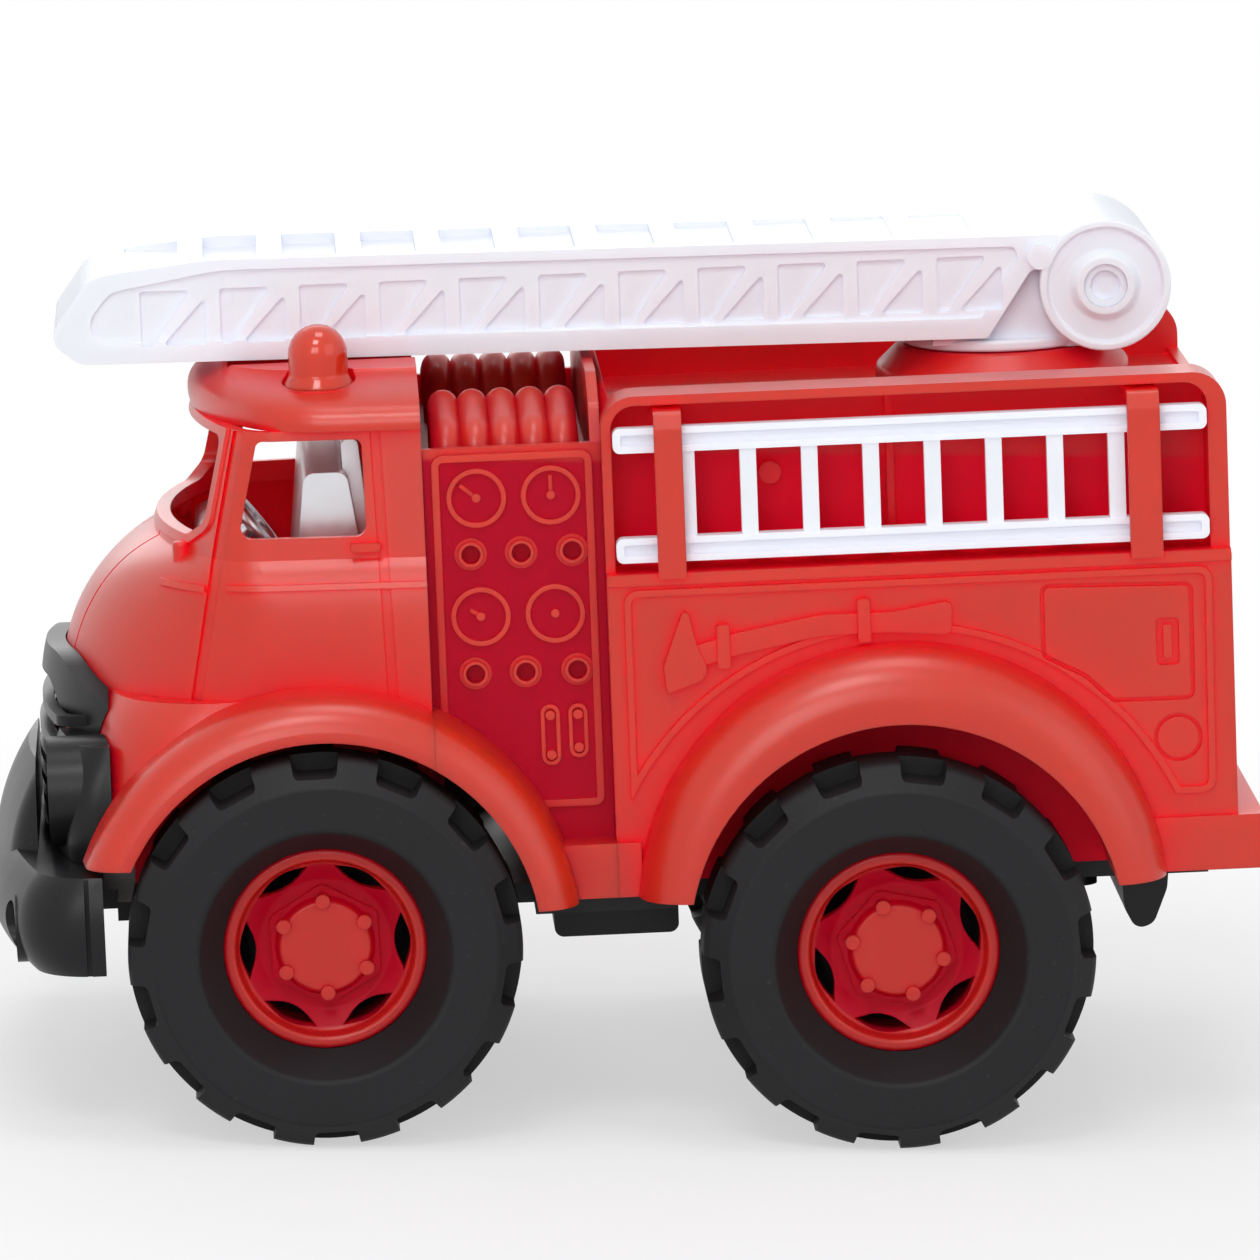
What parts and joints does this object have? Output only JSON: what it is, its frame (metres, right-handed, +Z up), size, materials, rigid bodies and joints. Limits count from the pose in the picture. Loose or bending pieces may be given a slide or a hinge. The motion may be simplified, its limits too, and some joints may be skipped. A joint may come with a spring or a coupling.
{
  "type": "toy fire engine with turntable ladder",
  "caption": "Moulded plastic toy fire engine: free-rolling wheels, turntable with a raising ladder, side ladders, roof beacons and an open cab.",
  "frame": {"origin": "on the floor, under the middle of the vehicle's length and width", "axes": "+X to the front of the vehicle, +Y to its left, +Z up"},
  "size_m": [0.2681, 0.1588, 0.1887],
  "materials": {
    "red_plastic": "satin moulded plastic, orange-red",
    "black_plastic": "satin moulded plastic, black",
    "white_plastic": "satin moulded plastic, cool white",
    "silver_plastic": "bright metallised plastic",
    "beacon_plastic": "glossy moulded plastic, orange-red",
    "tyre_black": "matt black moulded tyre",
    "axle_steel": "plain steel rod"
  },
  "bodies": {
    "body": {"cab_shell": "red_plastic", "pump_bay": "red_plastic", "rear_body": "red_plastic", "chassis": "black_plastic", "front_bumper": "black_plastic", "grille": "black_plastic", "cab_interior": "silver_plastic", "headlight_left": "silver_plastic", "headlight_right": "silver_plastic", "beacon_left": "beacon_plastic", "beacon_right": "beacon_plastic", "side_ladder_left": "white_plastic", "side_ladder_right": "white_plastic"},
    "front_wheels": {"front_axle": "axle_steel", "tyre_front_left": "tyre_black", "tyre_front_right": "tyre_black", "hub_front_left": "red_plastic", "hub_front_right": "red_plastic"},
    "rear_wheels": {"rear_axle": "axle_steel", "tyre_rear_left": "tyre_black", "tyre_rear_right": "tyre_black", "hub_rear_left": "red_plastic", "hub_rear_right": "red_plastic"},
    "turntable": {"turntable": "white_plastic"},
    "ladder": {"ladder": "white_plastic"}
  },
  "joints": [
    {"name": "front_axle_spin", "type": "hinge", "parent": "body", "child": "front_wheels", "pos_m": [0.06318, 0, 0.041], "axis": [0, 1, 0], "continuous": true},
    {"name": "rear_axle_spin", "type": "hinge", "parent": "body", "child": "rear_wheels", "pos_m": [-0.05618, 0, 0.041], "axis": [0, 1, 0], "continuous": true},
    {"name": "turntable_turn", "type": "hinge", "parent": "body", "child": "turntable", "pos_m": [-0.08057, 0, 0.16034], "axis": [0.0523, 0, 0.9986], "continuous": true},
    {"name": "ladder_lift", "type": "hinge", "parent": "turntable", "child": "ladder", "pos_m": [-0.10064, 0, 0.17481], "axis": [0, -1, 0], "range_deg": [0, 60]}
  ]
}
